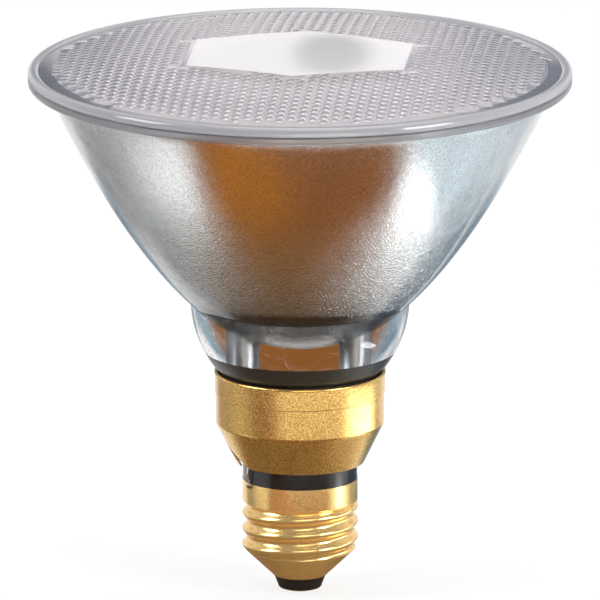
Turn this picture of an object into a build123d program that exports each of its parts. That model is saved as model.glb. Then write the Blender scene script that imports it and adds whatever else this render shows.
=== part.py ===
from build123d import *
import math
import os

# Reflector lamp: a pressed glass bowl closed by a pressed glass lens, on a skirted screw cap.
# Millimetres. Z is the lamp's axis, with the centre contact's face at Z = 0 and the lens at the top.
# The front of the lamp is -Y.

# Stages of the cap, from the contact upwards
tip_height = 3.4
shell_taper_height = 5.8
thread_length = 11.8
collar_length = 5.0
ring_band_height = 4.0
skirt_cone_height = 9.0
skirt_barrel_height = 12.0

# Screw shell, rolled from thin brass with the E27 thread
thread_major_diameter = 26.2
thread_depth = 1.05
thread_pitch = 3.629
thread_crest_height = 8.7
collar_set_back = 0.05
shell_mouth_radius = 6.0
shell_wall = 0.3

# Skirt, spun from brass, with a band pressed out under its rolled rim
skirt_radius = 19.0
skirt_mouth_gap = 1.55
skirt_wall = 0.35
skirt_bend_radius = 0.9
skirt_band_height = 5.2
skirt_band_step = 0.2
rim_roll_radius = 0.45
rim_roll_proud = 0.15

# Slanted slit in the skirt's cone, where the side lead comes out
slit_angle = 60.0
slit_mouth_width = 3.6
slit_height = 5.6
slit_lean = 5.2

# Black insulators
ring_set_back = 0.1
ring_spigot_depth = 3.0
ring_seat_gap = 1.2
ring_seat_height = 4.0
ring_bore_radius = 8.0
wire_slot_width = 1.4
wire_slot_bite = 0.3
tip_land = 0.6
tip_end_rounding = 0.8
tip_plug_height = 3.2

# Centre contact
contact_radius = 3.6
contact_thickness = 0.8
contact_proud = 0.35
contact_hole_radius = 1.2
contact_countersink = 0.5
contact_edge_chamfer = 0.3

# Glass bowl: mirror paraboloid inside, thick rounded neck below
flange_radius = 61.25
flange_overhang = 4.05
bowl_depth = 59.0
bowl_rim_wall = 1.8
bowl_floor = 4.6
mirror_vertex_rise = 9.0
bowl_flange = 2.0
flange_rounding = 1.0
flange_fillet = 0.8
seam_chamfer = 0.35
neck_swell = 5.4
neck_shoulder = 1.4
neck_base_rise = 1.1
neck_curve_radius = 25.9
neck_cement_gap = 0.75
neck_wall = 3.2
neck_insert_depth = 8.5
neck_end_chamfer = 0.7
neck_roof_chamfer = 1.8

# Glass lens: shallow dome inside a rounded rim, with a bare six-sided panel in the middle
lens_flange = 1.5
lens_rim_height = 0.55
lens_rim_width = 2.35
lens_dome_rise = 4.0
lens_inner_rise = 2.2
panel_half_width = 24.5
panel_side = 26.2
panel_point = 22.7
panel_raise = 0.3

# Filament mount
ferrule_spacing = 17.0
ferrule_radius = 2.5
ferrule_wall = 0.5
ferrule_proud = 0.6
ferrule_drop = 3.0
post_radius = 0.5
post_bend_radius = 1.5
filament_length = 10.2
filament_turns = 7
filament_coil_radius = 1.0
filament_wire_radius = 0.2
filament_wire_sides = 6
exhaust_tube_radius = 2.4
exhaust_tube_wall = 1.0
exhaust_tube_length = 7.0

# Leads, solder and cement
side_lead_radius = 0.25
side_lead_bend = 0.9
side_lead_bow = 0.25
centre_lead_radius = 0.4
centre_lead_bend = 8.0
lead_angle = 54.0
solder_radius = 0.8
cement_height = 7.0
fit_clearance = 0.1
wire_clearance = 0.4

# Levels along the axis
shell_bottom = tip_height
thread_bottom = shell_bottom + shell_taper_height
collar_bottom = thread_bottom + thread_length
shell_top = collar_bottom + collar_length
skirt_mouth = shell_top + ring_band_height
skirt_corner = skirt_mouth + skirt_cone_height
skirt_rim = skirt_corner + skirt_barrel_height
neck_bottom = skirt_rim - neck_insert_depth
neck_base = skirt_rim + neck_base_rise
mirror_vertex = skirt_rim + mirror_vertex_rise
bowl_underside = mirror_vertex - bowl_floor
flange_seat = mirror_vertex + bowl_depth
flange_underside = flange_seat - bowl_flange
lens_edge = flange_seat + lens_flange

# Sizes that follow from the ones above
thread_major_radius = thread_major_diameter / 2
thread_minor_radius = thread_major_radius - thread_depth
collar_radius = thread_major_radius - collar_set_back
shell_taper_slope = (thread_minor_radius - shell_mouth_radius) / shell_taper_height
shell_taper_wall = shell_wall * math.hypot(1, shell_taper_slope)
skirt_mouth_radius = collar_radius + skirt_mouth_gap
skirt_cone_slope = (skirt_radius - skirt_mouth_radius) / skirt_cone_height
skirt_cone_wall = skirt_wall * math.hypot(1, skirt_cone_slope)
ring_radius = collar_radius - ring_set_back
tip_end_radius = contact_radius + tip_land
bowl_mouth_radius = flange_radius - flange_overhang
bowl_width_factor = bowl_mouth_radius ** 2 / (flange_underside - bowl_underside)
mirror_rim_radius = bowl_mouth_radius - bowl_rim_wall
mirror_width_factor = mirror_rim_radius ** 2 / bowl_depth
mirror_focus = mirror_vertex + mirror_width_factor / 4
neck_land_radius = skirt_radius - skirt_wall - neck_cement_gap
neck_base_radius = neck_land_radius + neck_shoulder
neck_top_radius = neck_base_radius + neck_swell
neck_bore_radius = neck_land_radius - neck_wall
lens_margin_radius = flange_radius - lens_rim_width
ferrule_offset = ferrule_spacing / 2
ferrule_top = mirror_vertex + (ferrule_offset + ferrule_radius) ** 2 / mirror_width_factor + ferrule_proud
ferrule_bottom = bowl_underside - ferrule_drop
dome_radius = (lens_margin_radius ** 2 + lens_dome_rise ** 2) / (2 * lens_dome_rise)
dome_centre = lens_edge + lens_dome_rise - dome_radius

sides = {"left": -1, "right": 1}


def at(radius, height):
    """A point of a section through the axis, drawn flat."""
    return (radius, height)


def beside(angle, radius, height):
    """A point at an angle from the front, turning to the lamp's left as seen from the front."""
    turn = math.radians(angle)
    return (-radius * math.sin(turn), -radius * math.cos(turn), height)


def turned(edges):
    """Stand a closed section upright and turn it about the axis."""
    return revolve(Plane.XZ * Face(Wire(edges)), Axis.Z)


def turned_outline(*points):
    """Turn a section with straight sides."""
    return turned(Polyline(*points, close=True).edges())


def parabola(start_radius, end_radius, vertex, width_factor):
    """The part of the parabola radius squared = factor x (height - vertex) between two radii."""
    def height(radius):
        return vertex + radius ** 2 / width_factor

    middle = (start_radius + end_radius) / 2
    crossing = height(start_radius) + 2 * start_radius / width_factor * (middle - start_radius)
    return Bezier(at(start_radius, height(start_radius)), at(middle, crossing), at(end_radius, height(end_radius)))


def wire(points, bend_radius, wire_radius):
    """Round wire along straight runs with rounded bends."""
    path = FilletPolyline(*points, radius=bend_radius)
    section = Plane(path @ 0, z_dir=path % 0) * Circle(wire_radius)
    return sweep(section, path=path)


def ring_edges(shape, radius, height):
    """The round edges of a turned shape at one radius and height."""
    def matches(edge):
        return math.isclose(edge.radius, radius, abs_tol=1e-4) and math.isclose(edge.center().Z, height, abs_tol=1e-4)

    return shape.edges().filter_by(GeomType.CIRCLE).filter_by(matches)


def ferrule_hole(side):
    """The cylinder that a ferrule fills."""
    height = ferrule_top - ferrule_bottom
    middle = (ferrule_top + ferrule_bottom) / 2
    return Pos(side * ferrule_offset, 0, middle) * Cylinder(ferrule_radius, height)


def make_reflector_bowl():
    kink = bowl_underside + neck_top_radius ** 2 / bowl_width_factor
    wall = parabola(neck_top_radius, bowl_mouth_radius, bowl_underside, bowl_width_factor)
    mirror = parabola(mirror_rim_radius, 0, mirror_vertex, mirror_width_factor)
    rounding_start = at(flange_radius - flange_rounding, flange_underside)
    rounding_end = at(flange_radius, flange_underside + flange_rounding)
    outline = [
        Line(at(0, mirror_vertex), at(0, bowl_underside)),
        Line(at(0, bowl_underside), at(neck_bore_radius, bowl_underside)),
        Line(at(neck_bore_radius, bowl_underside), at(neck_bore_radius, neck_bottom)),
        Line(at(neck_bore_radius, neck_bottom), at(neck_land_radius, neck_bottom)),
        Line(at(neck_land_radius, neck_bottom), at(neck_land_radius, skirt_rim)),
        Line(at(neck_land_radius, skirt_rim), at(neck_base_radius, neck_base)),
        RadiusArc(at(neck_base_radius, neck_base), at(neck_top_radius, kink), -neck_curve_radius),
        wall,
        Line(at(bowl_mouth_radius, flange_underside), rounding_start),
        RadiusArc(rounding_start, rounding_end, -flange_rounding),
        Line(rounding_end, at(flange_radius, flange_seat - seam_chamfer)),
        Line(at(flange_radius, flange_seat - seam_chamfer), at(flange_radius - seam_chamfer, flange_seat)),
        Line(at(flange_radius - seam_chamfer, flange_seat), at(mirror_rim_radius, flange_seat)),
        mirror,
    ]
    bowl = turned(outline)
    bowl = fillet(ring_edges(bowl, bowl_mouth_radius, flange_underside), flange_fillet)
    bowl = chamfer(ring_edges(bowl, neck_bore_radius, bowl_underside), neck_roof_chamfer)
    for radius in (neck_bore_radius, neck_land_radius):
        bowl = chamfer(ring_edges(bowl, radius, neck_bottom), neck_end_chamfer)
    for side in sides.values():
        bowl -= ferrule_hole(side)
    exhaust_hole = exhaust_tube_radius - exhaust_tube_wall
    return bowl - Pos(0, 0, mirror_vertex) * Cylinder(exhaust_hole, 4 * bowl_floor)


def dome(radius, lift):
    """Height of the lens's outside, raised by a lift, at a radius."""
    return dome_centre + math.sqrt((dome_radius + lift) ** 2 - radius ** 2)


def make_front_lens():
    rim_top = lens_edge + lens_rim_height
    rim_outside = at(flange_radius, lens_edge - lens_rim_height)
    rim_crest = at(lens_margin_radius + lens_rim_width / 2, rim_top)
    rim_foot = at(lens_margin_radius, lens_edge)
    inner_radius = (mirror_rim_radius ** 2 + lens_inner_rise ** 2) / (2 * lens_inner_rise)
    inside_top = at(0, flange_seat + lens_inner_rise)
    outline = [
        RadiusArc(inside_top, at(mirror_rim_radius, flange_seat), inner_radius),
        Line(at(mirror_rim_radius, flange_seat), at(flange_radius - seam_chamfer, flange_seat)),
        Line(at(flange_radius - seam_chamfer, flange_seat), at(flange_radius, flange_seat + seam_chamfer)),
        Line(at(flange_radius, flange_seat + seam_chamfer), rim_outside),
        ThreePointArc(rim_outside, rim_crest, rim_foot),
        RadiusArc(rim_foot, at(0, lens_edge + lens_dome_rise), -dome_radius),
        Line(at(0, lens_edge + lens_dome_rise), inside_top),
    ]
    panel_base = (flange_seat + lens_inner_rise + dome(panel_side, 0)) / 2
    corners = [
        (0, -panel_point),
        (panel_half_width, -panel_side / 2),
        (panel_half_width, panel_side / 2),
        (0, panel_point),
        (-panel_half_width, panel_side / 2),
        (-panel_half_width, -panel_side / 2),
    ]
    reach = math.hypot(panel_half_width, panel_side)
    cover_top = at(0, dome(0, panel_raise))
    cover_edge = at(reach, dome(reach, panel_raise))
    cover = turned([
        Line(cover_top, at(0, panel_base)),
        Line(at(0, panel_base), at(reach, panel_base)),
        Line(at(reach, panel_base), cover_edge),
        RadiusArc(cover_edge, cover_top, -(dome_radius + panel_raise)),
    ])
    column = extrude(Pos(0, 0, panel_base) * make_face(Polyline(*corners, close=True)), lens_dome_rise)
    return turned(outline) + (column & cover)


def make_ferrule(side):
    """Thimble sealed through the bowl's floor, closed at the top."""
    depth = ferrule_top - ferrule_wall - ferrule_bottom
    hollow = Cylinder(ferrule_radius - ferrule_wall, depth)
    return ferrule_hole(side) - Pos(side * ferrule_offset, 0, ferrule_bottom + depth / 2) * hollow


def make_exhaust_tip():
    """Glass exhaust tube under the bowl's floor, drawn off to a round closed end."""
    end = bowl_underside - exhaust_tube_length
    bore = exhaust_tube_radius - exhaust_tube_wall
    bore_end = end + exhaust_tube_wall
    return turned([
        Line(at(bore, bowl_underside), at(bore, bore_end + bore)),
        RadiusArc(at(bore, bore_end + bore), at(0, bore_end), bore),
        Line(at(0, bore_end), at(0, end)),
        RadiusArc(at(0, end), at(exhaust_tube_radius, end + exhaust_tube_radius), -exhaust_tube_radius),
        Line(at(exhaust_tube_radius, end + exhaust_tube_radius), at(exhaust_tube_radius, bowl_underside)),
        Line(at(exhaust_tube_radius, bowl_underside), at(bore, bowl_underside)),
    ])


def filament_path():
    coil = Helix(filament_length / filament_turns, filament_length, filament_coil_radius)
    return Pos(-filament_length / 2, 0, mirror_focus) * Rot(0, 90, 0) * coil


def make_filament():
    path = filament_path()
    section = Plane(path @ 0, z_dir=path % 0) * RegularPolygon(filament_wire_radius, filament_wire_sides)
    return sweep(section, path=path, is_frenet=True)


def make_lead_post(side):
    """Stiff wire from a ferrule to one end of the filament."""
    coil_end = filament_path() @ ((side + 1) / 2)
    tip = side * (filament_length / 2 + filament_wire_radius + fit_clearance)
    points = [
        (side * ferrule_offset, 0, ferrule_top),
        (side * ferrule_offset, 0, coil_end.Z),
        (tip, coil_end.Y, coil_end.Z),
    ]
    return wire(points, post_bend_radius, post_radius)


def skirt_inside(height):
    """Radius of the inside of the skirt's cone at a height."""
    return skirt_mouth_radius - skirt_cone_wall + skirt_cone_slope * (height - skirt_mouth)


def make_cap_skirt():
    band_radius = skirt_radius + skirt_band_step
    step = skirt_rim - skirt_band_height
    roll_height = skirt_rim - rim_roll_radius
    roll_outside = at(band_radius + rim_roll_proud, roll_height)
    roll_top = at(band_radius + rim_roll_proud - rim_roll_radius, skirt_rim)
    roll_inside = at(band_radius + rim_roll_proud - 2 * rim_roll_radius, roll_height)
    inner_corner = skirt_corner + (skirt_cone_wall - skirt_wall) / skirt_cone_slope
    sheet = FilletPolyline(
        roll_outside,
        at(band_radius, roll_height - rim_roll_proud),
        at(band_radius, step + skirt_band_step),
        at(skirt_radius, step),
        at(skirt_radius, skirt_corner),
        at(skirt_mouth_radius, skirt_mouth),
        at(skirt_mouth_radius - skirt_cone_wall, skirt_mouth),
        at(skirt_radius - skirt_wall, inner_corner),
        at(skirt_radius - skirt_wall, step),
        at(band_radius - skirt_wall, step + skirt_band_step),
        at(band_radius - skirt_wall, roll_height - rim_roll_proud),
        roll_inside,
        radius=[0, 0, 0, skirt_bend_radius + skirt_wall, 0, 0, skirt_bend_radius, 0, 0, 0],
    )
    roll = ThreePointArc(roll_inside, roll_top, roll_outside)
    return turned([*sheet.edges(), roll]) - slit_cutter()


def slit_cutter():
    """Leaning wedge, drawn as seen square on to the cone at the slit's angle."""
    below = skirt_mouth - skirt_wall
    corners = [
        (-slit_mouth_width, below),
        (-slit_mouth_width, skirt_mouth),
        (slit_lean, skirt_mouth + slit_height),
        (slit_mouth_width / 4, skirt_mouth + slit_height / 4),
        (0, below),
    ]
    outward = Vector(*beside(slit_angle, 1, 0))
    across = Vector(*beside(slit_angle + 90, 1, 0))
    face = Plane((0, 0, 0), x_dir=across, z_dir=outward)
    rise = face.to_local_coords(Vector(0, 0, 1)).Y
    outline = Polyline(*[(x, rise * height) for x, height in corners], close=True)
    start = Pos(0, 0, skirt_mouth_radius - 2 * skirt_cone_wall)
    return extrude(face * start * make_face(outline), skirt_radius - skirt_mouth_radius)


def make_basing_cement():
    bottom = skirt_rim - cement_height - rim_roll_radius
    return turned_outline(
        at(neck_land_radius, bottom),
        at(skirt_radius - skirt_wall, bottom),
        at(skirt_radius - skirt_wall, bottom + cement_height - rim_roll_radius),
        at(neck_land_radius, bottom + cement_height - rim_roll_radius),
    )


def make_insulator_ring():
    spigot_radius = collar_radius - shell_wall - fit_clearance
    seat_bottom = skirt_mouth + ring_seat_gap
    seat_top = seat_bottom + ring_seat_height
    ring = turned_outline(
        at(ring_bore_radius, shell_top - ring_spigot_depth),
        at(spigot_radius, shell_top - ring_spigot_depth),
        at(spigot_radius, shell_top),
        at(ring_radius, shell_top),
        at(ring_radius, seat_bottom),
        at(skirt_inside(seat_bottom), seat_bottom),
        at(skirt_inside(seat_top), seat_top),
        at(ring_bore_radius, seat_top),
    )
    slot_floor = ring_radius - wire_slot_bite
    depth = skirt_radius - slot_floor
    slot = Box(wire_slot_width, depth, ring_seat_height)
    middle = beside(lead_angle, slot_floor + depth / 2, (seat_bottom + seat_top) / 2)
    return ring - Pos(*middle) * Rot(0, 0, -lead_angle) * slot


def side_lead_points():
    slot_radius = ring_radius + wire_clearance + side_lead_radius
    collar_touch = collar_radius + side_lead_radius
    seat_top = skirt_mouth + ring_seat_gap + ring_seat_height
    return [
        (-ferrule_offset, 0, ferrule_top - ferrule_wall),
        (-ferrule_offset, 0, neck_bottom),
        beside(lead_angle, slot_radius - 3 * side_lead_bend, seat_top + 3 * side_lead_bend),
        beside(lead_angle, slot_radius, seat_top + side_lead_bend),
        beside(lead_angle, slot_radius, skirt_mouth + side_lead_bend),
        beside(lead_angle, slot_radius + side_lead_bow, shell_top + ring_band_height * 0.6),
        beside(lead_angle, collar_touch, shell_top + side_lead_bend / 3),
        beside(lead_angle, collar_touch, shell_top - 1.2 * solder_radius),
    ]


def make_side_lead():
    return wire(side_lead_points(), side_lead_bend, side_lead_radius)


def make_side_solder():
    """Drop of solder on the top edge of the shell, round the end of the side lead."""
    height = shell_top - solder_radius / 3
    drop = Pos(*beside(lead_angle, collar_radius + side_lead_radius, height)) * Sphere(solder_radius)
    shell = Pos(0, 0, shell_top - collar_length / 2) * Cylinder(collar_radius, collar_length)
    ring = Pos(0, 0, shell_top) * Cylinder(ring_radius, 2 * ring_band_height)
    return drop - shell - ring - make_side_lead()


def threaded_rod(shrink):
    """A circle carried round a small helix sweeps the rolled thread, crest and root alike."""
    mean_radius = (thread_major_radius + thread_minor_radius) / 2 - shrink
    throw = (thread_major_radius - thread_minor_radius) / 2
    start_angle = 360 * (shell_bottom - thread_crest_height) / thread_pitch
    path = Helix(thread_pitch, collar_bottom - shell_bottom, throw)
    rod = sweep(Pos(throw, 0, 0) * Circle(mean_radius), path=path, normal=(0, 0, 1))
    return Pos(0, 0, shell_bottom) * Rot(0, 0, start_angle) * rod


def shell_blank(shrink, taper_shrink):
    """The shell as a filled body: threaded rod, tapered at its foot and run out under the collar."""
    reach = thread_major_radius + shell_wall
    mouth = shell_mouth_radius - taper_shrink
    taper_top = shell_bottom + (reach - mouth) / shell_taper_slope
    taper = turned_outline(
        at(0, shell_bottom),
        at(mouth, shell_bottom),
        at(reach, taper_top),
        at(reach, collar_bottom),
        at(0, collar_bottom),
    )
    collar_rise = collar_radius - thread_minor_radius
    collar = turned_outline(
        at(0, collar_bottom - collar_rise),
        at(thread_minor_radius - shrink, collar_bottom - collar_rise),
        at(collar_radius - shrink, collar_bottom),
        at(collar_radius - shrink, shell_top),
        at(0, shell_top),
    )
    return (threaded_rod(shrink) & taper) + collar


def make_screw_shell():
    return shell_blank(0, 0) - shell_blank(shell_wall, shell_taper_wall)


def make_tip_insulator():
    """Moulded plug: a cone that fills the shell's foot and a blunt end that holds the contact."""
    mouth = shell_mouth_radius - shell_taper_wall
    plug_top = shell_bottom + tip_plug_height
    rounding_start = at(tip_end_radius, contact_proud)
    rounding_end = at(tip_end_radius + tip_end_rounding, contact_proud + tip_end_rounding)
    return turned([
        Line(at(contact_hole_radius, contact_thickness), at(contact_radius, contact_thickness)),
        Line(at(contact_radius, contact_thickness), at(contact_radius, contact_proud)),
        Line(at(contact_radius, contact_proud), rounding_start),
        RadiusArc(rounding_start, rounding_end, -tip_end_rounding),
        Line(rounding_end, at(shell_mouth_radius - fit_clearance, shell_bottom)),
        Line(at(shell_mouth_radius - fit_clearance, shell_bottom), at(mouth, shell_bottom)),
        Line(at(mouth, shell_bottom), at(mouth + shell_taper_slope * tip_plug_height, plug_top)),
        Line(at(mouth + shell_taper_slope * tip_plug_height, plug_top), at(contact_hole_radius, plug_top)),
        Line(at(contact_hole_radius, plug_top), at(contact_hole_radius, contact_thickness)),
    ])


def make_centre_contact():
    edge = contact_radius - contact_edge_chamfer
    return turned([
        Line(at(contact_hole_radius, contact_thickness), at(contact_radius, contact_thickness)),
        Line(at(contact_radius, contact_thickness), at(contact_radius, contact_edge_chamfer)),
        Line(at(contact_radius, contact_edge_chamfer), at(edge, 0)),
        Line(at(edge, 0), at(contact_hole_radius + contact_countersink, 0)),
        Line(at(contact_hole_radius + contact_countersink, 0), at(contact_hole_radius, contact_countersink)),
        Line(at(contact_hole_radius, contact_countersink), at(contact_hole_radius, contact_thickness)),
    ])


def make_centre_lead():
    points = [
        (ferrule_offset, 0, ferrule_top - ferrule_wall),
        (ferrule_offset, 0, neck_bottom),
        (0, 0, shell_top),
        (0, 0, contact_countersink),
    ]
    return wire(points, centre_lead_bend, centre_lead_radius)


def make_contact_solder():
    """Solder that fills the contact's countersunk hole round the end of the centre lead."""
    top = 2 * contact_thickness
    return turned_outline(
        at(0, 0),
        at(contact_hole_radius + contact_countersink, 0),
        at(contact_hole_radius, contact_countersink),
        at(contact_hole_radius, top),
        at(centre_lead_radius, top),
        at(centre_lead_radius, contact_countersink),
        at(0, contact_countersink),
    )


def make_parts():
    parts = {
        "reflector_bowl": make_reflector_bowl(),
        "front_lens": make_front_lens(),
        "filament": make_filament(),
        "exhaust_tip": make_exhaust_tip(),
        "cap_skirt": make_cap_skirt(),
        "basing_cement": make_basing_cement(),
        "insulator_ring": make_insulator_ring(),
        "side_lead": make_side_lead(),
        "side_solder": make_side_solder(),
        "screw_shell": make_screw_shell(),
        "tip_insulator": make_tip_insulator(),
        "centre_contact": make_centre_contact(),
        "centre_lead": make_centre_lead(),
        "contact_solder": make_contact_solder(),
    }
    for name, side in sides.items():
        parts["ferrule_" + name] = make_ferrule(side)
        parts["lead_post_" + name] = make_lead_post(side)
    return parts


os.makedirs("parts", exist_ok=True)
for node, shape in make_parts().items():
    export_step(shape, "parts/" + node + ".step")
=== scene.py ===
import math

import bmesh
import bpy
from mathutils import Matrix, Vector


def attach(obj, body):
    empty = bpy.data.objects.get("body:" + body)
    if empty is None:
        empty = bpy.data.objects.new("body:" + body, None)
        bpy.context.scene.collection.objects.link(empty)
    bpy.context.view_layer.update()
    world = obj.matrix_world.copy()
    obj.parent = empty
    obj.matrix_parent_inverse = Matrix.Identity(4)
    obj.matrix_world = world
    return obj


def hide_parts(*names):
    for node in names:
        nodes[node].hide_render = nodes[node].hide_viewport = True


# Looks of a reflector lamp: pressed glass bowl with a mirror film, prismatic lens, brass screw cap.
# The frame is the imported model's: metres, Z up the lamp's axis, the front at -Y.

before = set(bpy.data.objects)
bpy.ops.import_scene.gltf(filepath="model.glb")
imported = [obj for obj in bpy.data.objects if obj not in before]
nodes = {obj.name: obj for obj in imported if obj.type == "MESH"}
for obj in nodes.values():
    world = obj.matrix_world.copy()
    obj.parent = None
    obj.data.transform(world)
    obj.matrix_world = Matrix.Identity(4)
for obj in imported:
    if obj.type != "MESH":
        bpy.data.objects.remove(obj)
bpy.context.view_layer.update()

MM = 0.001

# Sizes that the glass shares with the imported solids, in millimetres
FLANGE_RADIUS = 61.25
FLANGE_UNDERSIDE = 117.0
FLANGE_SEAT = 119.0
FLANGE_ROUNDING = 1.0
FLANGE_FILLET = 0.8
SEAM_CHAMFER = 0.35
MIRROR_VERTEX = 60.0
MIRROR_RIM_RADIUS = 55.4
BOWL_MOUTH_RADIUS = 57.2
BOWL_UNDERSIDE = 55.4
SKIRT_RIM = 51.0
NECK_TOP_RADIUS = 24.7
NECK_BASE_RADIUS = 19.3
NECK_BASE = 52.1
NECK_CURVE_RADIUS = 25.9
NECK_LAND_RADIUS = 17.9
NECK_BORE_RADIUS = 14.7
NECK_BOTTOM = 42.5
NECK_END_CHAMFER = 0.7
NECK_ROOF_CHAMFER = 1.8
LENS_EDGE = 120.5
LENS_MARGIN_RADIUS = 58.9
LENS_DOME_RISE = 4.0
LENS_INNER_RISE = 2.2
PANEL_HALF_WIDTH = 24.5
PANEL_HALF_SIDE = 13.1
PANEL_POINT = 22.7
PANEL_RAISE = 0.3

# The fillet under the flange: its middle, out and down from the bowl's mouth, and its foot as a share
FILLET_MIDDLE_OUT = 0.2
FILLET_MIDDLE_DOWN = 0.15
FILLET_FOOT_SHARE = 0.45

# The round of the lens's rim, with its angles in degrees, and the strip of the dome inside it
RIM_ROUND_MIDDLE = (59.95, 119.76)
RIM_ROUND_RADIUS = 1.29
RIM_ROUND_START = 144
RIM_ROUND_END = 8
RIM_MARGIN_WIDTH = 0.4

# Radii of the rings of points on the lens's inside
LENS_INNER_RINGS = (50, 44, 37, 30, 22, 14, 7, 0)

# The dark band at the neck's foot reaches up to this height
DARK_BAND_TOP = 55.9

# The lens's cells: six-sided cushions in staggered columns, pressed up in two steps and a crown.
# Each step is an inset in millimetres and a share of the cushion's height.
CELL_FIELD_RADIUS = 58.0
CELL_PITCH = 2.83
CELL_HEIGHT = 0.36
CELL_STEPS = ((0.34, 0.55), (0.42, 0.32))
CROWN_SHARE = 0.13

# How dark the painted shade is on a cell's crown and on the ring round it
PAINTED_CROWN_SHADE = 1.0
PAINTED_CROWN_RING_SHADE = 0.8

# Only cells this near to an edge of the panel can be cut by it, and a corner this near to the cut is on it
PANEL_CUT_REACH = 3.0
PANEL_CUT_TOLERANCE = 0.001

# A cell is whole if its area is right within this share
WHOLE_CELL_TOLERANCE = 0.03

# How finely the outlines are divided, and the angle in degrees past which an edge looks sharp
ROUND_STEPS = 160
MIRROR_STEPS = 40
WALL_STEPS = 36
NECK_STEPS = 14
RIM_STEPS = 9
ROUNDING_STEPS = 6
SHARP_ANGLE = 35.0

# Points nearer than these, in millimetres, become one
SEAM_WELD = 0.002
CELL_WELD = 0.02
BORDER_WELD = 0.4

# A face whose middle is this near to a surface, in millimetres, belongs to it
SURFACE_REACH = 0.01
MIRROR_REACH = 0.3

# The mirror film goes from satin to hammered between these heights, in millimetres
SATIN_HEIGHT = 110
HAMMERED_HEIGHT = 62


# Shapes

def shape_to_piece(name, bm, materials, replaced):
    """Make a finished mesh a piece of the lamp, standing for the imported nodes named."""
    mesh = bpy.data.meshes.new(name)
    for face in bm.faces:
        face.smooth = True
    bm.to_mesh(mesh)
    bm.free()
    for material in materials:
        mesh.materials.append(material)
    mesh.set_sharp_from_angle(angle=math.radians(SHARP_ANGLE))
    piece = bpy.data.objects.new(name, mesh)
    bpy.context.scene.collection.objects.link(piece)
    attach(piece, "root")
    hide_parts(*replaced)


def spin_profile(bm, outline):
    """Turn an outline of (radius, height) in millimetres about the axis into a skin."""
    verts = [bm.verts.new((radius * MM, 0.0, height * MM)) for radius, height in outline]
    edges = [bm.edges.new(pair) for pair in zip(verts, verts[1:])]
    bmesh.ops.spin(
        bm, geom=verts + edges, cent=(0, 0, 0), axis=(0, 0, 1), dvec=(0, 0, 0),
        angle=math.tau, steps=ROUND_STEPS, use_merge=True,
    )
    bmesh.ops.remove_doubles(bm, verts=bm.verts, dist=SEAM_WELD * MM)
    bmesh.ops.recalc_face_normals(bm, faces=bm.faces)


def parabola(start, end, steps, vertex, factor):
    """Points of a paraboloid's outline between two radii."""
    radii = [start + (end - start) * i / steps for i in range(steps + 1)]
    return [(radius, vertex + radius ** 2 / factor) for radius in radii]


def arc(centre, radius, start, end, steps):
    """Points of a round part of an outline, by angles in degrees from the outward direction."""
    turns = [math.radians(start + (end - start) * i / steps) for i in range(steps + 1)]
    return [(centre[0] + radius * math.cos(t), centre[1] + radius * math.sin(t)) for t in turns]


def arc_between(first, last, radius, steps):
    """Points of a round from one point of an outline up to another."""
    (x0, y0), (x1, y1) = first, last
    half = math.dist(first, last) / 2
    rise = math.sqrt(radius ** 2 - half ** 2)
    across = ((x1 - x0) / (2 * half), (y1 - y0) / (2 * half))
    centre = ((x0 + x1) / 2 - across[1] * rise, (y0 + y1) / 2 + across[0] * rise)
    start = math.degrees(math.atan2(y0 - centre[1], x0 - centre[0]))
    end = math.degrees(math.atan2(y1 - centre[1], x1 - centre[0]))
    return arc(centre, radius, start, end, steps)


def ball_radius(rim_radius, rise):
    """Radius of the ball whose cap has this rim and rise."""
    return (rim_radius ** 2 + rise ** 2) / (2 * rise)


def dome_height(radius, lift=0.0):
    """Height of the lens's outside at a radius."""
    ball = ball_radius(LENS_MARGIN_RADIUS, LENS_DOME_RISE)
    return LENS_EDGE + LENS_DOME_RISE - ball + math.sqrt((ball + lift) ** 2 - radius ** 2)


def inner_height(radius):
    """Height of the lens's inside at a radius."""
    ball = ball_radius(MIRROR_RIM_RADIUS, LENS_INNER_RISE)
    return FLANGE_SEAT + LENS_INNER_RISE - ball + math.sqrt(ball ** 2 - radius ** 2)


# Finishes

def node_adder(tree):
    """A function that adds a node to a tree, with its links and values."""
    def add(kind, links=None, **values):
        made = tree.nodes.new(kind)
        for key, value in values.items():
            if hasattr(made, key):
                setattr(made, key, value)
            else:
                made.inputs[key.replace("_", " ").title()].default_value = value
        for socket, source in (links or {}).items():
            tree.links.new(source, made.inputs[socket])
        return made

    return add


def set_sockets(node, values):
    """Set values on a node's own sockets."""
    for socket, value in values.items():
        node.inputs[socket].default_value = value


def finish(name):
    """A new material with its shader, a function that adds a node and one that links two sockets."""
    material = bpy.data.materials.new(name)
    material.use_nodes = True
    tree = material.node_tree
    return material, tree.nodes["Principled BSDF"], node_adder(tree), tree.links.new


def empty_tree(owner):
    """Clear the nodes of a material or a world and give a function that adds a node."""
    owner.use_nodes = True
    owner.node_tree.nodes.clear()
    return node_adder(owner.node_tree)


def two_tone(add, share, first, second, start=0.0, end=1.0):
    """A colour that goes from the first to the second as a share grows."""
    ramp = add("ShaderNodeValToRGB", {"Fac": share})
    low, high = ramp.color_ramp.elements
    low.position = start
    low.color = (*first, 1)
    high.position = end
    high.color = (*second, 1)
    return ramp.outputs["Color"]


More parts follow.
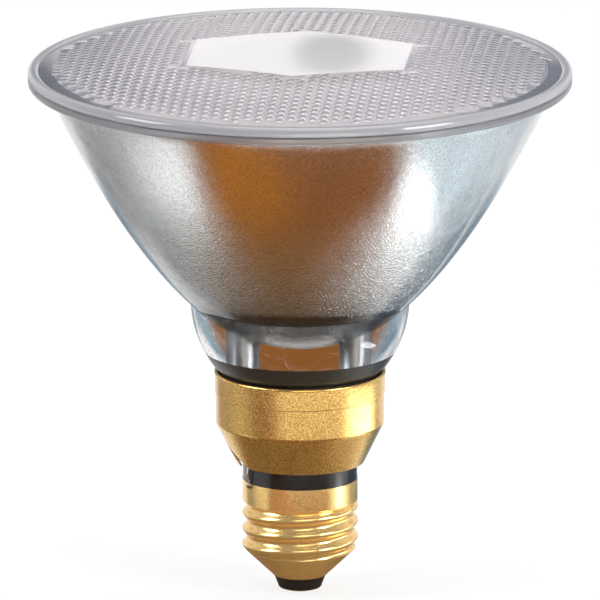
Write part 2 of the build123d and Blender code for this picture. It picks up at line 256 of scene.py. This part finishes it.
def pressed_glass(name, tint, wave_scale, wave, bending=1.5, rough=0.015, clearness=1.0):
    """Pressed glass, clear or milky, with a faintly wavy skin."""
    material, shader, add, link = finish(name)
    place = add("ShaderNodeTexCoord").outputs["Object"]
    waves = add("ShaderNodeTexNoise", {"Vector": place}, scale=wave_scale, detail=2.0)
    bump = add("ShaderNodeBump", {"Height": waves.outputs["Fac"]}, strength=wave, distance=0.0004)
    link(bump.outputs["Normal"], shader.inputs["Normal"])
    set_sockets(shader, {
        "Base Color": (*tint, 1),
        "Roughness": rough,
        "IOR": bending,
        "Transmission Weight": clearness,
    })
    return material


def lens_finish():
    """Prismatic glass with a painted shade: every pressed cell darkens towards its middle."""
    material, shader, add, link = finish("lens glass")
    middle = add("ShaderNodeAttribute", attribute_name="painted_cell_shade").outputs["Fac"]
    # The tone is a painted shade that darkens each cell towards its crown
    tone = two_tone(add, middle, (0.89, 0.86, 0.885), (0.17, 0.165, 0.19))
    link(tone, shader.inputs["Base Color"])
    set_sockets(shader, {
        "Roughness": 0.2,
        "IOR": 1.5,
        "Transmission Weight": 0.85,
        "Coat Weight": 1.0,
        "Coat Roughness": 0.02,
    })
    return material


def mirror_film():
    """Aluminium film on the bowl's inside: satin at the top, hammered towards the neck."""
    material, shader, add, link = finish("mirror film")
    place = add("ShaderNodeTexCoord").outputs["Object"]
    height = add("ShaderNodeSeparateXYZ", {"Vector": place}).outputs["Z"]
    low = add(
        "ShaderNodeMapRange", {"Value": height}, interpolation_type="SMOOTHSTEP",
        from_min=SATIN_HEIGHT * MM, from_max=HAMMERED_HEIGHT * MM,
    )
    peel = add("ShaderNodeTexNoise", {"Vector": place}, scale=2900.0, detail=1.0)
    hammered = add(
        "ShaderNodeMath", {0: peel.outputs["Fac"], 1: low.outputs["Result"]}, operation="MULTIPLY",
    )
    bump = add("ShaderNodeBump", {"Height": hammered.outputs["Value"]}, strength=0.8, distance=0.0002)
    grain = add("ShaderNodeTexNoise", {"Vector": place}, scale=4200.0, detail=3.0)
    satin = add(
        "ShaderNodeBump", {"Height": grain.outputs["Fac"], "Normal": bump.outputs["Normal"]},
        strength=0.25, distance=0.00006,
    )
    roughness = add("ShaderNodeMapRange", {"Value": grain.outputs["Fac"]}, to_min=0.08, to_max=0.16)
    speckle = add("ShaderNodeTexNoise", {"Vector": place}, scale=2600.0, detail=1.0)
    tone = two_tone(
        add, speckle.outputs["Fac"], (0.70, 0.70, 0.69), (0.97, 0.975, 0.98), start=0.32, end=0.62,
    )
    link(tone, shader.inputs["Base Color"])
    link(roughness.outputs["Result"], shader.inputs["Roughness"])
    link(satin.outputs["Normal"], shader.inputs["Normal"])
    set_sockets(shader, {"Metallic": 1.0})
    return material


def brass(name, light, dark, rough, grain_depth, metallic):
    """Drawn brass with a fine grain in its colour and relief, and clouds in its gloss."""
    material, shader, add, link = finish(name)
    place = add("ShaderNodeTexCoord").outputs["Object"]
    grain = add("ShaderNodeTexNoise", {"Vector": place}, scale=3200.0, detail=3.0, roughness=0.65)
    cloud = add("ShaderNodeTexNoise", {"Vector": place}, scale=160.0, detail=3.0)
    tone = two_tone(add, grain.outputs["Fac"], dark, light, start=0.34, end=0.62)
    roughness = add("ShaderNodeMapRange", {"Value": cloud.outputs["Fac"]}, to_min=rough[0], to_max=rough[1])
    bump = add("ShaderNodeBump", {"Height": grain.outputs["Fac"]}, strength=0.5, distance=grain_depth)
    link(tone, shader.inputs["Base Color"])
    link(roughness.outputs["Result"], shader.inputs["Roughness"])
    link(bump.outputs["Normal"], shader.inputs["Normal"])
    set_sockets(shader, {"Metallic": metallic})
    return material


def plain_finish(name, colour, rough, metallic, scale):
    """An even finish with a little unevenness in its tone and gloss."""
    material, shader, add, link = finish(name)
    place = add("ShaderNodeTexCoord").outputs["Object"]
    cloud = add("ShaderNodeTexNoise", {"Vector": place}, scale=scale, detail=3.0)
    darker = [c * 0.8 for c in colour]
    lighter = [c * 1.15 for c in colour]
    tone = two_tone(add, cloud.outputs["Fac"], darker, lighter)
    roughness = add("ShaderNodeMapRange", {"Value": cloud.outputs["Fac"]}, to_min=rough[0], to_max=rough[1])
    bump = add("ShaderNodeBump", {"Height": cloud.outputs["Fac"]}, strength=0.15, distance=0.00008)
    link(tone, shader.inputs["Base Color"])
    link(roughness.outputs["Result"], shader.inputs["Roughness"])
    link(bump.outputs["Normal"], shader.inputs["Normal"])
    set_sockets(shader, {"Metallic": metallic})
    return material


fused_seam = pressed_glass("fused seam", tint=(1.0, 1.0, 1.0), wave_scale=160.0, wave=0.0, bending=1.0)
bowl_glass = pressed_glass("bowl glass", tint=(0.97, 0.985, 0.98), wave_scale=160.0, wave=0.25)
rim_glass = pressed_glass(
    "rim glass", tint=(0.50, 0.495, 0.51), wave_scale=220.0, wave=0.1, rough=0.12, clearness=0.4,
)
flange_glass = pressed_glass(
    "flange glass", tint=(0.24, 0.235, 0.25), wave_scale=220.0, wave=0.1, rough=0.12, clearness=0.5,
)
panel_glass = pressed_glass(
    "panel glass", tint=(0.86, 0.845, 0.84), wave_scale=90.0, wave=0.05, rough=0.06, clearness=0.4,
)
lens_glass = lens_finish()
film = mirror_film()
skirt_brass = brass(
    "skirt brass", light=(0.92, 0.62, 0.21), dark=(0.46, 0.23, 0.045),
    rough=(0.14, 0.24), grain_depth=0.00006, metallic=0.86,
)
thread_brass = brass(
    "thread brass", light=(0.98, 0.70, 0.29), dark=(0.70, 0.41, 0.12),
    rough=(0.14, 0.26), grain_depth=0.00002, metallic=0.77,
)
black_insulator = plain_finish(
    "black insulator", colour=(0.012, 0.011, 0.011), rough=(0.10, 0.22), metallic=0.0, scale=300.0,
)
dull_solder = plain_finish(
    "dull solder", colour=(0.46, 0.38, 0.28), rough=(0.3, 0.5), metallic=1.0, scale=900.0,
)
lead_wire = plain_finish(
    "lead wire", colour=(0.80, 0.76, 0.70), rough=(0.15, 0.3), metallic=1.0, scale=900.0,
)
ferrule_metal = plain_finish(
    "ferrule metal", colour=(0.27, 0.28, 0.29), rough=(0.35, 0.5), metallic=1.0, scale=500.0,
)
tungsten = plain_finish(
    "tungsten", colour=(0.30, 0.29, 0.29), rough=(0.35, 0.5), metallic=1.0, scale=900.0,
)
# An opaque dark band over the glass at the neck's foot, just above the skirt
dark_neck_band = plain_finish(
    "dark neck band", colour=(0.022, 0.020, 0.015), rough=(0.25, 0.45), metallic=0.0, scale=700.0,
)
cement = plain_finish(
    "cement", colour=(0.035, 0.028, 0.02), rough=(0.7, 0.9), metallic=0.0, scale=500.0,
)


# Glass bowl with its mirror film

def bowl_outline(mirror_factor):
    """The bowl's outline: mirror, flange, outer wall, neck and the neck's hollow."""
    wall_factor = BOWL_MOUTH_RADIUS ** 2 / (FLANGE_UNDERSIDE - BOWL_UNDERSIDE)
    neck_base = (NECK_BASE_RADIUS, NECK_BASE)
    neck_top = (NECK_TOP_RADIUS, BOWL_UNDERSIDE + NECK_TOP_RADIUS ** 2 / wall_factor)
    neck = arc_between(neck_base, neck_top, NECK_CURVE_RADIUS, NECK_STEPS)
    rounding = (FLANGE_RADIUS - FLANGE_ROUNDING, FLANGE_UNDERSIDE + FLANGE_ROUNDING)
    fillet_foot = BOWL_MOUTH_RADIUS - FLANGE_FILLET * FILLET_FOOT_SHARE
    outline = parabola(0, MIRROR_RIM_RADIUS, MIRROR_STEPS, MIRROR_VERTEX, mirror_factor)
    outline += [
        (FLANGE_RADIUS - SEAM_CHAMFER, FLANGE_SEAT),
        (FLANGE_RADIUS, FLANGE_SEAT - SEAM_CHAMFER),
    ]
    outline += arc(rounding, FLANGE_ROUNDING, 0, -90, ROUNDING_STEPS)
    outline += [
        (BOWL_MOUTH_RADIUS + FLANGE_FILLET, FLANGE_UNDERSIDE),
        (BOWL_MOUTH_RADIUS + FILLET_MIDDLE_OUT, FLANGE_UNDERSIDE - FILLET_MIDDLE_DOWN),
    ]
    outline += parabola(fillet_foot, NECK_TOP_RADIUS, WALL_STEPS, BOWL_UNDERSIDE, wall_factor)
    outline += neck[::-1][1:]
    outline += [
        (NECK_LAND_RADIUS, SKIRT_RIM),
        (NECK_LAND_RADIUS, NECK_BOTTOM + NECK_END_CHAMFER),
        (NECK_LAND_RADIUS - NECK_END_CHAMFER, NECK_BOTTOM),
        (NECK_BORE_RADIUS + NECK_END_CHAMFER, NECK_BOTTOM),
        (NECK_BORE_RADIUS, NECK_BOTTOM + NECK_END_CHAMFER),
        (NECK_BORE_RADIUS, BOWL_UNDERSIDE - NECK_ROOF_CHAMFER),
        (NECK_BORE_RADIUS - NECK_ROOF_CHAMFER, BOWL_UNDERSIDE),
        (0, BOWL_UNDERSIDE),
    ]
    return outline


def make_bowl():
    """Spin the bowl and give its faces their finishes."""
    bm = bmesh.new()
    mirror_factor = MIRROR_RIM_RADIUS ** 2 / (FLANGE_SEAT - MIRROR_VERTEX)
    spin_profile(bm, bowl_outline(mirror_factor))
    finishes = [bowl_glass, film, fused_seam, flange_glass, dark_neck_band]
    for face in bm.faces:
        middle = face.calc_center_median()
        radius = math.hypot(middle.x, middle.y) / MM
        height = middle.z / MM
        if height > FLANGE_SEAT - SURFACE_REACH:
            face.material_index = finishes.index(fused_seam)
        elif radius > BOWL_MOUTH_RADIUS:
            face.material_index = finishes.index(flange_glass)
        elif height < DARK_BAND_TOP and radius > NECK_LAND_RADIUS - SURFACE_REACH:
            face.material_index = finishes.index(dark_neck_band)
        elif abs(height - MIRROR_VERTEX - radius ** 2 / mirror_factor) < MIRROR_REACH:
            face.material_index = finishes.index(film)
    shape_to_piece("glass_bowl", bm, finishes, ["reflector_bowl"])


# Prismatic lens

def inside_panel(x, y):
    """Whether a place in millimetres lies in the bare six-sided panel."""
    slant = PANEL_POINT - (PANEL_POINT - PANEL_HALF_SIDE) * abs(x) / PANEL_HALF_WIDTH
    return abs(x) < PANEL_HALF_WIDTH and abs(y) < slant


def copy_to(bm, shape, step):
    """Copy a shape and move the copy by a step."""
    copy = bmesh.ops.duplicate(bm, geom=shape)["geom"]
    bmesh.ops.translate(bm, verts=[v for v in copy if isinstance(v, bmesh.types.BMVert)], vec=step)


def lay_cells(bm):
    """Lay flat six-sided cells over the lens: one cell, a column of it, then the staggered columns."""
    corner_radius = CELL_PITCH / math.sqrt(3) * MM
    column_step = 1.5 * corner_radius
    pitch = CELL_PITCH * MM
    field = CELL_FIELD_RADIUS * MM
    rows = math.ceil(CELL_FIELD_RADIUS / CELL_PITCH) + 1
    columns = math.ceil(field / column_step) + 1
    quarter_turn = Matrix.Rotation(math.radians(90), 4, "Z")
    bmesh.ops.create_circle(bm, cap_ends=True, segments=6, radius=corner_radius, matrix=quarter_turn)
    cell = bm.verts[:] + bm.edges[:] + bm.faces[:]
    for row in range(-rows, rows + 1):
        if row:
            copy_to(bm, cell, (0, row * pitch, 0))
    column = bm.verts[:] + bm.edges[:] + bm.faces[:]
    for place in range(-columns, columns + 1):
        if place:
            copy_to(bm, column, (place * column_step, (place % 2) * pitch / 2, 0))
    outside = [f for f in bm.faces if f.calc_center_median().xy.length > field]
    bmesh.ops.delete(bm, geom=outside, context="FACES")
    bmesh.ops.remove_doubles(bm, verts=bm.verts, dist=CELL_WELD * MM)
    border = [v for v in bm.verts if v.is_boundary or v.co.xy.length > field]
    for vert in border:
        vert.co.xy = vert.co.xy.normalized() * field
    bmesh.ops.remove_doubles(bm, verts=border, dist=BORDER_WELD * MM)


def cut_panel(bm):
    """Cut the cells along the panel's six edges and give the faces inside."""
    corners = [
        Vector((0, -PANEL_POINT)), Vector((PANEL_HALF_WIDTH, -PANEL_HALF_SIDE)),
        Vector((PANEL_HALF_WIDTH, PANEL_HALF_SIDE)), Vector((0, PANEL_POINT)),
        Vector((-PANEL_HALF_WIDTH, PANEL_HALF_SIDE)), Vector((-PANEL_HALF_WIDTH, -PANEL_HALF_SIDE)),
    ]
    reach = PANEL_CUT_REACH * MM
    for start, end in zip(corners, corners[1:] + corners[:1]):
        start, end = start * MM, end * MM
        along = (end - start).normalized()
        out = Vector((along.y, -along.x))
        length = (end - start).length
        near = []
        for face in bm.faces:
            middle = face.calc_center_median().xy - start
            if abs(middle.dot(out)) < reach and -reach < middle.dot(along) < length + reach:
                near.append(face)
        edges = list(dict.fromkeys(e for f in near for e in f.edges))
        verts = list(dict.fromkeys(v for f in near for v in f.verts))
        bmesh.ops.bisect_plane(
            bm, geom=verts + edges + near, dist=PANEL_CUT_TOLERANCE * MM,
            plane_co=(start.x, start.y, 0), plane_no=(out.x, out.y, 0),
        )
    inside = []
    for face in bm.faces:
        middle = face.calc_center_median() / MM
        if inside_panel(middle.x, middle.y):
            inside.append(face)
    return inside


def raise_cells(bm, panel):
    """Press the whole cells into cushions; those at the border, or cut by the panel, stay flat."""
    whole_area = CELL_PITCH ** 2 * math.sqrt(3) / 2 * MM ** 2
    inner = [f for f in bm.faces if f not in panel and not any(e.is_boundary for e in f.edges)]
    whole = [f for f in inner if abs(f.calc_area() / whole_area - 1) < WHOLE_CELL_TOLERANCE]
    for inset, share in CELL_STEPS:
        bmesh.ops.inset_individual(
            bm, faces=whole, thickness=inset * MM, depth=share * CELL_HEIGHT * MM, use_even_offset=True,
        )
    top = bmesh.ops.poke(bm, faces=whole, offset=CROWN_SHARE * CELL_HEIGHT * MM)
    # Painted shade: each crown is marked dark, and the ring round it nearly as dark, for the lens's tone
    middle = bm.verts.layers.float["painted_cell_shade"]
    for centre in top["verts"]:
        centre[middle] = PAINTED_CROWN_SHADE
        for edge in centre.link_edges:
            edge.other_vert(centre)[middle] = PAINTED_CROWN_RING_SHADE


def lens_rim():
    """A mesh of the lens's rim and inside, open where the cells go."""
    margin = LENS_MARGIN_RADIUS - RIM_MARGIN_WIDTH
    rounding = arc(RIM_ROUND_MIDDLE, RIM_ROUND_RADIUS, RIM_ROUND_START, RIM_ROUND_END, RIM_STEPS)
    outline = [(margin, dome_height(margin)), (LENS_MARGIN_RADIUS, LENS_EDGE)]
    outline += rounding[1:]
    outline += [
        (FLANGE_RADIUS, FLANGE_SEAT + SEAM_CHAMFER),
        (FLANGE_RADIUS - SEAM_CHAMFER, FLANGE_SEAT),
        (MIRROR_RIM_RADIUS, FLANGE_SEAT),
    ]
    outline += [(radius, inner_height(radius)) for radius in LENS_INNER_RINGS]
    bm = bmesh.new()
    spin_profile(bm, outline)
    mesh = bpy.data.meshes.new("lens rim")
    bm.to_mesh(mesh)
    bm.free()
    return mesh


def make_lens():
    """Press the cells, bend them over the dome and close them with the rim and the inside."""
    bm = bmesh.new()
    bm.verts.layers.float.new("painted_cell_shade")
    lay_cells(bm)
    if bm.faces[:][0].normal.z < 0:
        bmesh.ops.reverse_faces(bm, faces=bm.faces)
    panel = set(cut_panel(bm))
    panel_verts = {v for f in panel for v in f.verts}
    raise_cells(bm, panel)
    field_edge = [e for e in bm.edges if e.is_boundary]
    for vert in bm.verts:
        lift = PANEL_RAISE if vert in panel_verts else 0.0
        vert.co.z += dome_height(vert.co.xy.length / MM, lift) * MM
    field = set(bm.edges)
    rim = lens_rim()
    bm.from_mesh(rim)
    bpy.data.meshes.remove(rim)
    rim_edge = [e for e in bm.edges if e not in field and e.is_boundary]
    bmesh.ops.bridge_loops(bm, edges=field_edge + rim_edge)
    bmesh.ops.recalc_face_normals(bm, faces=bm.faces)
    finishes = [lens_glass, fused_seam, rim_glass, panel_glass]
    for face in bm.faces:
        middle = face.calc_center_median()
        radius = middle.xy.length / MM
        if abs(middle.z / MM - FLANGE_SEAT) < SURFACE_REACH and radius > MIRROR_RIM_RADIUS:
            face.material_index = finishes.index(fused_seam)
        elif radius > LENS_MARGIN_RADIUS:
            face.material_index = finishes.index(rim_glass)
        elif face in panel:
            face.material_index = finishes.index(panel_glass)
    shape_to_piece("prismatic_lens", bm, finishes, ["front_lens"])


make_bowl()
make_lens()


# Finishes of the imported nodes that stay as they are

node_finishes = {
    "cap_skirt": skirt_brass,
    "screw_shell": thread_brass,
    "insulator_ring": black_insulator,
    "tip_insulator": black_insulator,
    "centre_contact": thread_brass,
    "side_solder": dull_solder,
    "contact_solder": dull_solder,
    "side_lead": lead_wire,
    "centre_lead": lead_wire,
    "lead_post_left": lead_wire,
    "lead_post_right": lead_wire,
    "ferrule_left": ferrule_metal,
    "ferrule_right": ferrule_metal,
    "filament": tungsten,
    "exhaust_tip": bowl_glass,
    "basing_cement": cement,
}
for node_name, material in node_finishes.items():
    mesh = nodes[node_name].data
    mesh.materials.clear()
    mesh.materials.append(material)


# Stage: pale floor, soft light, and plain cards that only reflections and glass see.
# The camera stands a little to the right of the front, and the cards are turned with it.

# The view: degrees, metres, and the lens's length in millimetres
VIEW_TURN = 5.0
VIEW_ELEVATION = 13.8
VIEW_DISTANCE = 4.0
VIEW_AIM = 0.0671
VIEW_LENS = 1064.0

# The floor, in millimetres, and the share of glow in its finish
FLOOR_REACH = 4000
FLOOR_LEVEL = -0.2
FLOOR_COLOUR = (0.92, 0.92, 0.92, 1)
FLOOR_GLOW = 0.8

# A card that leans this far, in degrees, is upright
UPRIGHT = 90


def floor_finish():
    """A pale matte floor that looks nearly white to the camera, in reflections and through glass."""
    material = bpy.data.materials.new("pale floor")
    add = empty_tree(material)
    path = add("ShaderNodeLightPath").outputs
    seen = path["Is Camera Ray"]
    for ray in ("Is Glossy Ray", "Is Transmission Ray"):
        seen = add("ShaderNodeMath", {0: seen, 1: path[ray]}, operation="MAXIMUM").outputs[0]
    share = add("ShaderNodeMath", {0: seen}, operation="MULTIPLY")
    set_sockets(share, {1: FLOOR_GLOW})
    matte = add("ShaderNodeBsdfDiffuse")
    set_sockets(matte, {"Color": FLOOR_COLOUR})
    glow = add("ShaderNodeEmission")
    mix = add("ShaderNodeMixShader", {"Fac": share.outputs[0], 1: matte.outputs[0], 2: glow.outputs[0]})
    add("ShaderNodeOutputMaterial", {"Surface": mix.outputs[0]})
    return material


def make_floor():
    """A flat floor just under the lamp."""
    bm = bmesh.new()
    bmesh.ops.create_grid(bm, x_segments=1, y_segments=1, size=FLOOR_REACH * MM)
    bmesh.ops.translate(bm, verts=bm.verts, vec=(0, 0, FLOOR_LEVEL * MM))
    mesh = bpy.data.meshes.new("floor")
    bm.to_mesh(mesh)
    bm.free()
    mesh.materials.append(floor_finish())
    floor = bpy.data.objects.new("floor", mesh)
    bpy.context.scene.collection.objects.link(floor)


def card_finish(name, colour, strength):
    """A softly mottled glow that fades out over the card's edge."""
    material = bpy.data.materials.new(name)
    add = empty_tree(material)
    place = add("ShaderNodeTexCoord").outputs["Object"]
    mottle = add("ShaderNodeTexNoise", {"Vector": place}, scale=45.0)
    level = add(
        "ShaderNodeMapRange", {"Value": mottle.outputs["Fac"]},
        from_min=0.3, from_max=0.7, to_min=0.7 * strength, to_max=1.3 * strength,
    )
    glow = add("ShaderNodeEmission", {"Strength": level.outputs["Result"]})
    set_sockets(glow, {"Color": (*colour, 1)})
    clear = add("ShaderNodeBsdfTransparent")
    cover = add("ShaderNodeAttribute", attribute_name="cover").outputs["Fac"]
    mix = add("ShaderNodeMixShader", {"Fac": cover, 1: clear.outputs[0], 2: glow.outputs[0]})
    add("ShaderNodeOutputMaterial", {"Surface": mix.outputs[0]})
    return material


def reflection_card(name, centre, height, radii, soft, colour, strength=1.0, turn=0, lean=0):
    """An oval card in millimetres, lying or upright, with a soft edge as a share of its radius."""
    bm = bmesh.new()
    cover = bm.verts.layers.float.new("cover")
    bmesh.ops.create_circle(bm, cap_ends=True, segments=48, radius=1.0)
    bmesh.ops.inset_region(bm, faces=bm.faces[:], thickness=soft, use_even_offset=True, use_boundary=True)
    for vert in bm.verts:
        vert[cover] = 1.0 if vert.co.length < 1 - soft / 2 else 0.0
    bmesh.ops.scale(bm, verts=bm.verts, vec=(radii[0] * MM, radii[1] * MM, 1))
    bmesh.ops.rotate(bm, verts=bm.verts, matrix=Matrix.Rotation(math.radians(lean), 3, "X"))
    bmesh.ops.rotate(bm, verts=bm.verts, matrix=Matrix.Rotation(math.radians(turn), 3, "Z"))
    bmesh.ops.translate(bm, verts=bm.verts, vec=(centre[0] * MM, centre[1] * MM, height * MM))
    bmesh.ops.rotate(bm, verts=bm.verts, matrix=Matrix.Rotation(math.radians(VIEW_TURN), 3, "Z"))
    mesh = bpy.data.meshes.new(name)
    bm.to_mesh(mesh)
    bm.free()
    mesh.materials.append(card_finish(name, colour, strength))
    card = bpy.data.objects.new(name, mesh)
    bpy.context.scene.collection.objects.link(card)
    card.visible_camera = False
    card.visible_diffuse = False
    card.visible_shadow = False


make_floor()

# Cards on the floor, the higher over the lower: name, centre, height, radii, soft edge, colour
reflection_card("pale left", (-235, 40), 0.1, (125, 260), 0.35, (0.50, 0.49, 0.49))
reflection_card("pale right", (250, 150), 0.1, (120, 190), 0.4, (0.50, 0.60, 0.70))
reflection_card("warm table", (-3, -78), 0.2, (116, 58), 0.18, (0.24, 0.085, 0.022))
reflection_card("orange patch", (-60, -84), 0.3, (60, 38), 0.35, (0.38, 0.13, 0.015))
reflection_card("dark foot", (-18, -8), 0.4, (80, 44), 0.45, (0.19, 0.115, 0.05))
reflection_card("blue back", (82, 70), 0.2, (74, 52), 0.35, (0.14, 0.22, 0.29))
reflection_card("grey left", (-135, 110), 0.2, (48, 95), 0.45, (0.40, 0.37, 0.37))
reflection_card("dark streak", (-88, 30), 0.3, (34, 50), 0.6, (0.14, 0.16, 0.18), turn=30)
reflection_card("brown left", (-170, -130), 0.2, (104, 96), 0.25, (0.13, 0.04, 0.006))
reflection_card("window right", (174, -18), 0.3, (16, 76), 0.3, (0.96, 0.99, 1.0), strength=1.5)

# A bright upright card for the skirt, and a shelf over it that keeps it out of the bowl
reflection_card(
    "cap window", (132, -2), 15, (70, 13), 0.25, (1.0, 1.0, 1.0), strength=9.0, turn=88, lean=UPRIGHT,
)
reflection_card("pale shelf", (106, -2), 30, (32, 84), 0.12, (0.68, 0.78, 0.84))

# Upright cards behind the lens, for its panel and its sides
reflection_card("panel shade", (9, 200), 175, (14, 34), 0.5, (0.06, 0.05, 0.06), lean=UPRIGHT)
reflection_card("left shade", (-66, 95), 158, (42, 34), 0.5, (0.15, 0.18, 0.25), lean=UPRIGHT)
reflection_card("right shade", (68, 95), 158, (42, 34), 0.5, (0.15, 0.19, 0.26), lean=UPRIGHT)

# On the floor again: a small bright card on the right, and two wide ones far behind
reflection_card("small window", (100, -14), 0.3, (10, 24), 0.4, (1.0, 1.0, 1.0), strength=12.0)
reflection_card("far blue", (300, 700), 0.1, (420, 380), 0.5, (0.40, 0.55, 0.75))
reflection_card("far pink", (-420, 560), 0.1, (380, 260), 0.5, (0.50, 0.43, 0.41))

# Upright cards behind the neck, and a bright one in front for the thread
reflection_card("blue screen", (0, 54), 57, (90, 24), 0.3, (0.22, 0.31, 0.38), lean=UPRIGHT)
reflection_card("warm screen", (2, 47), 57, (24, 19), 0.4, (0.25, 0.095, 0.026), lean=UPRIGHT)
reflection_card("thread glow", (20, -125), 100, (60, 40), 0.5, (1.0, 0.93, 0.80), strength=5.0, lean=UPRIGHT)


def make_world():
    """Pale to the camera; to all else a room that is dim in front of the lamp and bright behind it."""
    world = bpy.data.worlds.new("studio")
    bpy.context.scene.world = world
    add = empty_tree(world)
    place = add("ShaderNodeTexCoord").outputs["Generated"]
    towards_back = add("ShaderNodeSeparateXYZ", {0: place}).outputs["Y"]
    depth = add("ShaderNodeMapRange", {"Value": towards_back}, from_min=-1.0, from_max=1.0)
    sky = add("ShaderNodeValToRGB", {"Fac": depth.outputs["Result"]})
    front, back = sky.color_ramp.elements
    front.position = 0.1
    front.color = (0.22, 0.20, 0.22, 1)
    back.position = 0.8
    back.color = (1.0, 0.96, 0.97, 1)
    sides = sky.color_ramp.elements.new(0.5)
    sides.color = (0.34, 0.38, 0.44, 1)
    room = add("ShaderNodeBackground", {"Color": sky.outputs["Color"]})
    pale = add("ShaderNodeBackground")
    path = add("ShaderNodeLightPath").outputs
    mix = add("ShaderNodeMixShader", {"Fac": path["Is Camera Ray"], 1: room.outputs[0], 2: pale.outputs[0]})
    add("ShaderNodeOutputWorld", {"Surface": mix.outputs[0]})


def soft_lamp(name, place, aim, width, height, power):
    """A broad lamp, in metres and watts, that points at a place on the object."""
    data = bpy.data.lights.new(name, "AREA")
    data.shape = "RECTANGLE"
    data.size = width
    data.size_y = height
    data.energy = power
    lamp = bpy.data.objects.new(name, data)
    lamp.location = place
    lamp.rotation_euler = (Vector(aim) - Vector(place)).to_track_quat("-Z", "Y").to_euler()
    bpy.context.scene.collection.objects.link(lamp)


def make_camera():
    """A camera at the photograph's viewing angle, far off with a long lens."""
    data = bpy.data.cameras.new("camera")
    data.sensor_width = 36.0
    data.lens = VIEW_LENS
    data.clip_end = 20.0
    camera = bpy.data.objects.new("camera", data)
    tilt = math.radians(VIEW_ELEVATION)
    turn = math.radians(VIEW_TURN)
    reach = VIEW_DISTANCE * math.cos(tilt)
    rise = VIEW_DISTANCE * math.sin(tilt)
    camera.location = (reach * math.sin(turn), -reach * math.cos(turn), VIEW_AIM + rise)
    camera.rotation_euler = (math.radians(90 - VIEW_ELEVATION), 0, turn)
    bpy.context.scene.collection.objects.link(camera)
    bpy.context.scene.camera = camera


make_world()
soft_lamp("window right", (0.75, -0.45, 0.35), (0, 0, 0.05), width=0.35, height=0.45, power=7.0)
soft_lamp("window left", (-0.8, -0.3, 0.6), (0, 0, 0.07), width=0.4, height=0.5, power=6.0)
soft_lamp("top light", (0.1, 0.2, 1.3), (0, 0, 0.06), width=0.9, height=0.9, power=8.0)
make_camera()
bpy.context.scene.view_settings.view_transform = "Standard"

# Enough bounces for light to pass the glass, the mirror and the glass again
bpy.context.scene.cycles.max_bounces = 20
bpy.context.scene.cycles.glossy_bounces = 12
bpy.context.scene.cycles.transmission_bounces = 16
